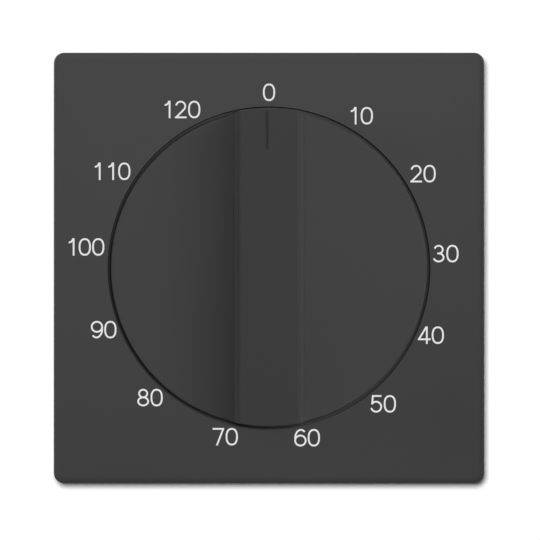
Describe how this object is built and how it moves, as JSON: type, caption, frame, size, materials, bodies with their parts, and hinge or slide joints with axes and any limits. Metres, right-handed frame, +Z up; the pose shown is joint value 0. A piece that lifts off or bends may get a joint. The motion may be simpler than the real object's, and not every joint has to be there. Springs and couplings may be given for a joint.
{
  "type": "mechanical wall timer",
  "caption": "Square wall-mounted run-back timer: flush dial disc with a grip bar on a shaft that winds a spring-driven gear train with balance and works a cam switch.",
  "frame": {"origin": "on the dial's axis, in the wall plane behind the support frame", "axes": "+X right and +Z up as the user sees the dial, +Y into the wall"},
  "size_m": [0.063, 0.045, 0.063],
  "materials": {
    "anthracite_plastic": "fine matt moulding",
    "zinc_steel": "zinc plated",
    "grey_plastic": "plain moulding",
    "brass": "rolled sheet",
    "steel": "turned",
    "spring_steel": "blued strip",
    "acetal": "natural moulding",
    "contact_bronze": "rolled strip",
    "contact_silver": "headed rivet",
    "white_print": "printed numbers"
  },
  "bodies": {
    "base": {"cover_plate": "anthracite_plastic", "support_frame": "zinc_steel", "frame_screws": "zinc_steel", "insert_housing": "grey_plastic", "housing_cover": "grey_plastic", "front_movement_plate": "brass", "rear_movement_plate": "brass", "movement_pillars": "brass", "shaft_bushes": "brass", "stop_pin": "steel", "spring_barrel": "zinc_steel", "mainspring": "spring_steel", "train_arbors": "steel", "hairspring": "spring_steel", "hairspring_stud": "brass", "moving_contact": "contact_bronze", "moving_rivet": "contact_silver", "blade_rivet": "brass", "line_busbar": "brass", "load_busbar": "brass", "fixed_rivet": "contact_silver", "line_terminal": "brass", "load_terminal": "brass", "terminal_screws": "zinc_steel"},
    "knob": {"dial_knob": "anthracite_plastic", "knob_clip": "spring_steel", "main_shaft": "steel", "shaft_circlip": "spring_steel", "stop_arm": "steel", "main_wheel": "acetal", "clutch_spring": "spring_steel", "switch_cam": "acetal"},
    "second": {"second_wheel": "acetal"},
    "third": {"third_wheel": "acetal"},
    "escape": {"escape_wheel": "acetal"},
    "pallet": {"pallet_lever": "acetal", "pallet_pins": "steel"},
    "balance": {"balance_wheel": "brass", "balance_staff": "steel"}
  },
  "joints": [
    {"name": "knob_turn", "type": "hinge", "parent": "base", "child": "knob", "pos_m": [0, 0, 0], "axis": [0, 1, 0], "range_deg": [0, 330], "deforming": ["mainspring", "moving_contact", "moving_rivet"]},
    {"name": "second_wheel_spin", "type": "hinge", "parent": "base", "child": "second", "pos_m": [-0.01135, 0, -0.00795], "axis": [0, 1, 0], "range_deg": [-3300, 0]},
    {"name": "third_wheel_spin", "type": "hinge", "parent": "base", "child": "third", "pos_m": [-0.00506, 0, -0.01299], "axis": [0, 1, 0], "range_deg": [0, 29700]},
    {"name": "escape_wheel_spin", "type": "hinge", "parent": "base", "child": "escape", "pos_m": [0.00218, 0, -0.01377], "axis": [0, 1, 0], "range_deg": [-267300, 0]},
    {"name": "balance_swing", "type": "hinge", "parent": "base", "child": "balance", "pos_m": [0.01272, 0, -0.0057], "axis": [0, 1, 0], "range_deg": [-30, 30], "stiffness_Nm_per_rad": 0.000002, "deforming": ["hairspring"]},
    {"name": "pallet_swing", "type": "hinge", "parent": "base", "child": "pallet", "pos_m": [0.00817, 0, -0.01129], "axis": [0, 1, 0], "range_deg": [-6.01, 6.01]}
  ],
  "couplings": [
    {"joint": "second_wheel_spin", "follows": "knob_turn", "ratio": -10},
    {"joint": "third_wheel_spin", "follows": "knob_turn", "ratio": 90},
    {"joint": "escape_wheel_spin", "follows": "knob_turn", "ratio": -810},
    {"joint": "pallet_swing", "follows": "balance_swing", "ratio": -0.2}
  ]
}
